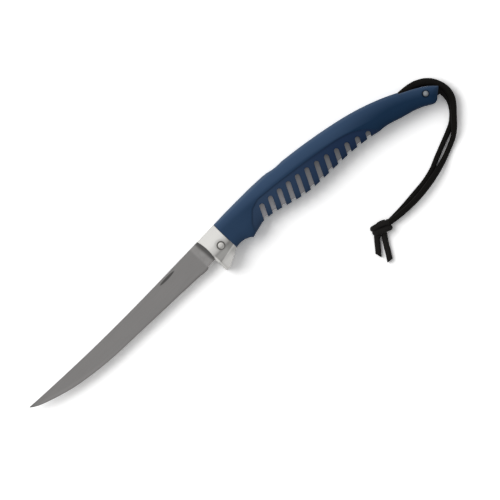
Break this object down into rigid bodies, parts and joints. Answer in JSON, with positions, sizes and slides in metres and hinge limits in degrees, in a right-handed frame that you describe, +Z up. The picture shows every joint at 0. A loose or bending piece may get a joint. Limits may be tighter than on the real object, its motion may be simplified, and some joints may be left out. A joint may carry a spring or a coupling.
{
  "type": "fillet knife",
  "caption": "Folding fillet knife with a slender upswept blade, metal bolsters with a guard, curved blue ribbed handle, lockback bar and black cord lanyard.",
  "frame": {"origin": "on the surface it lies on, under the middle of the knife without its free cord", "axes": "+X from the blade tip towards the butt, +Y towards the spine side, +Z up from the surface"},
  "size_m": [0.3675, 0.114, 0.019],
  "materials": {
    "blade_steel": "satin ground stainless steel with a grey coating",
    "bolster_metal": "bright satin nickel silver",
    "liner_steel": "satin stainless steel",
    "lock_steel": "satin spring steel",
    "pin_steel": "polished stainless steel",
    "bushing_bronze": "oiled bronze",
    "handle_nylon": "fine textured blue nylon",
    "grip_rubber": "soft dark blue rubber",
    "lanyard_cord": "braided black cord"
  },
  "bodies": {
    "handle": {"back_spacer": "liner_steel", "back_spring": "lock_steel", "bolster_far": "bolster_metal", "bolster_near": "bolster_metal", "bolster_rivets": "pin_steel", "grip_far": "grip_rubber", "grip_near": "grip_rubber", "lanyard_bight": "lanyard_cord", "lanyard_knot": "lanyard_cord", "lanyard_leg_inner": "lanyard_cord", "lanyard_leg_outer": "lanyard_cord", "lanyard_pin": "pin_steel", "lanyard_tail_long": "lanyard_cord", "lanyard_tail_short": "lanyard_cord", "liner_far": "liner_steel", "liner_near": "liner_steel", "lock_bar_pin": "pin_steel", "pivot_bushing": "bushing_bronze", "pivot_pin": "pin_steel", "pivot_washer_far": "bushing_bronze", "pivot_washer_near": "bushing_bronze", "scale_far": "handle_nylon", "scale_near": "handle_nylon", "spacer_pins": "pin_steel", "spring_pin": "pin_steel"},
    "blade": {"blade": "blade_steel"},
    "lock_bar": {"lock_bar": "lock_steel"}
  },
  "joints": [
    {"name": "blade_fold", "type": "hinge", "parent": "handle", "child": "blade", "pos_m": [-0.0056, 0.01035, 0.0095], "axis": [0, 0, 1], "range_deg": [0, 177]},
    {"name": "lock_bar_rock", "type": "hinge", "parent": "handle", "child": "lock_bar", "pos_m": [0.0294, 0.01985, 0.0095], "axis": [0, 0, 1], "range_deg": [0, 2]}
  ]
}
